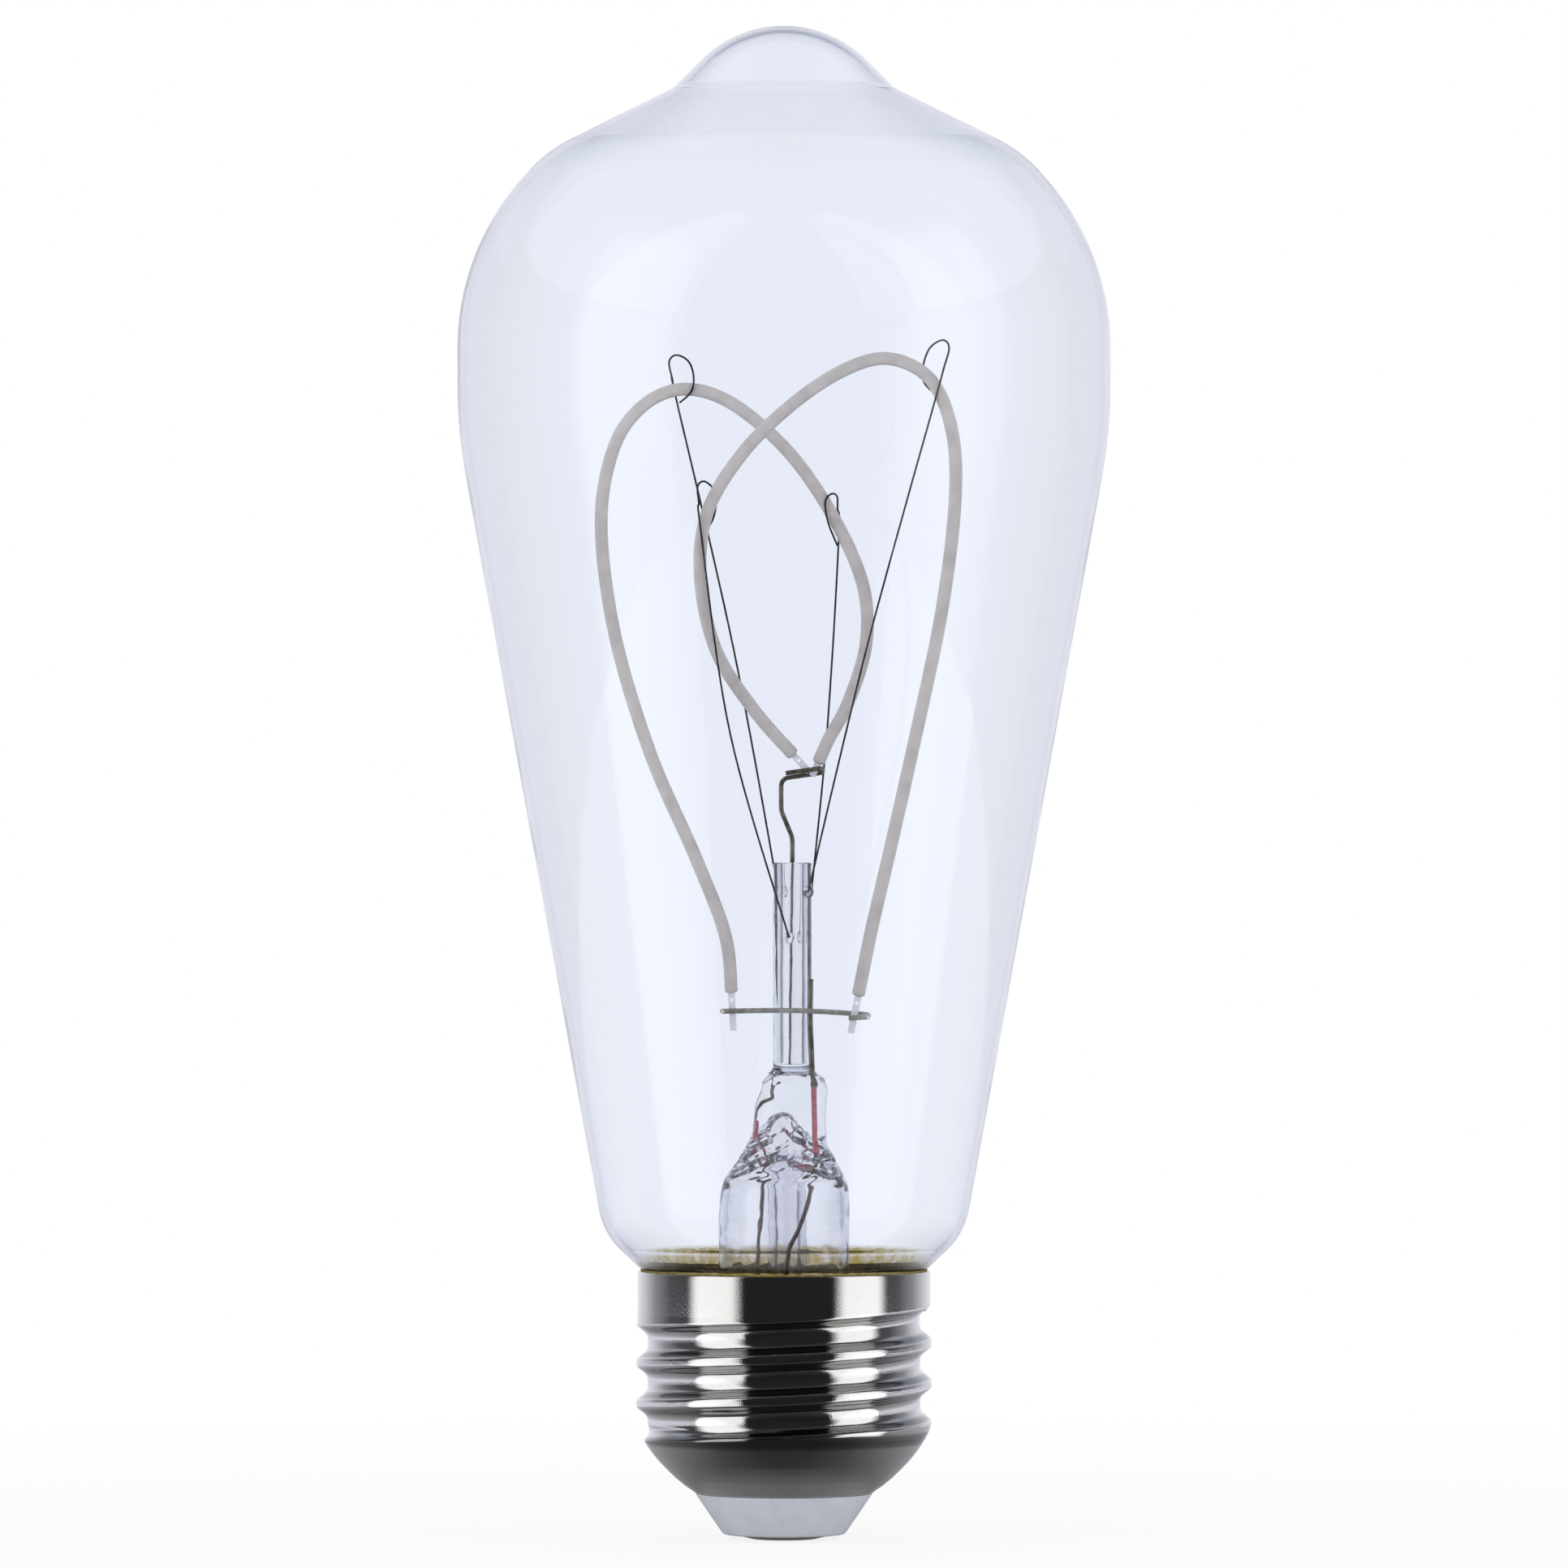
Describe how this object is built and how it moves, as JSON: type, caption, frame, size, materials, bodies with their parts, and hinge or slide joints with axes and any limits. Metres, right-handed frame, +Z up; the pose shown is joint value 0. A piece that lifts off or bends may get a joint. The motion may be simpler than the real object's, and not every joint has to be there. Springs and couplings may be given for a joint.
{
  "type": "led filament bulb",
  "caption": "Clear tapered glass lamp with a domed crown, screw cap and curved filaments crossing as a heart on hooked wires above a glass stem.",
  "frame": {"origin": "middle of the centre contact's flat face, where the lamp bears on its holder", "axes": "+Z up the lamp's axis to the crown of the glass, -Y the front that the picture shows, +X its right"},
  "size_m": [0.058, 0.058, 0.1343],
  "materials": {
    "clear_glass": "clear blown glass with a faint lavender tint",
    "stem_glass": "clear lead-free stem glass, flame-softened",
    "anchor_wire": "dark drawn molybdenum",
    "nickel_wire": "nickel-plated drawn wire, a little tarnished",
    "sealing_wire": "red borated copper-clad sealing wire",
    "copper_wire": "copper lead, darkened by the sealing flame",
    "filament_coat": "matte silicone filled with phosphor, unlit",
    "filament_strip": "flexible film strip with printed copper",
    "led_chip": "polished blue die",
    "tab_metal": "bright tinned sheet",
    "shell_metal": "nickel-plated brass, rolled and polished",
    "insulator": "pale grey moulded insulator, satin",
    "contact_metal": "plated contact, satin",
    "cement": "olive-yellow capping cement",
    "board": "green solder mask on glass-fibre board",
    "black_epoxy": "black moulding compound",
    "capacitor_can": "dark shrink sleeve",
    "ceramic": "white ceramic body with tinned ends",
    "resistor_coat": "green flameproof lacquer",
    "red_insulation": "red wire insulation",
    "blue_insulation": "blue wire insulation"
  },
  "bodies": {
    "root": {"glass_bulb": "clear_glass", "stem_flare": "stem_glass", "exhaust_tube": "stem_glass", "support_column": "stem_glass", "anchor_beads": "stem_glass", "anchor_outer_left": "anchor_wire", "anchor_inner_left": "anchor_wire", "anchor_inner_right": "anchor_wire", "anchor_outer_right": "anchor_wire", "upper_lead": "nickel_wire", "lower_lead": "nickel_wire", "crossbar": "nickel_wire", "seal_wires": "sealing_wire", "outer_lead_left": "copper_wire", "outer_lead_right": "copper_wire", "filament_left": "filament_coat", "filament_right": "filament_coat", "filament_strip_left": "filament_strip", "filament_strip_right": "filament_strip", "led_chips_left": "led_chip", "led_chips_right": "led_chip", "end_tabs_left": "tab_metal", "end_tabs_right": "tab_metal", "screw_shell": "shell_metal", "insulator": "insulator", "centre_contact": "contact_metal", "cement_ring": "cement", "driver_board": "board", "bridge_rectifier": "black_epoxy", "smoothing_capacitor": "capacitor_can", "driver_chip": "black_epoxy", "chip_resistors": "ceramic", "fusible_resistor": "resistor_coat", "contact_wire": "red_insulation", "shell_wire": "blue_insulation"}
  },
  "joints": []
}
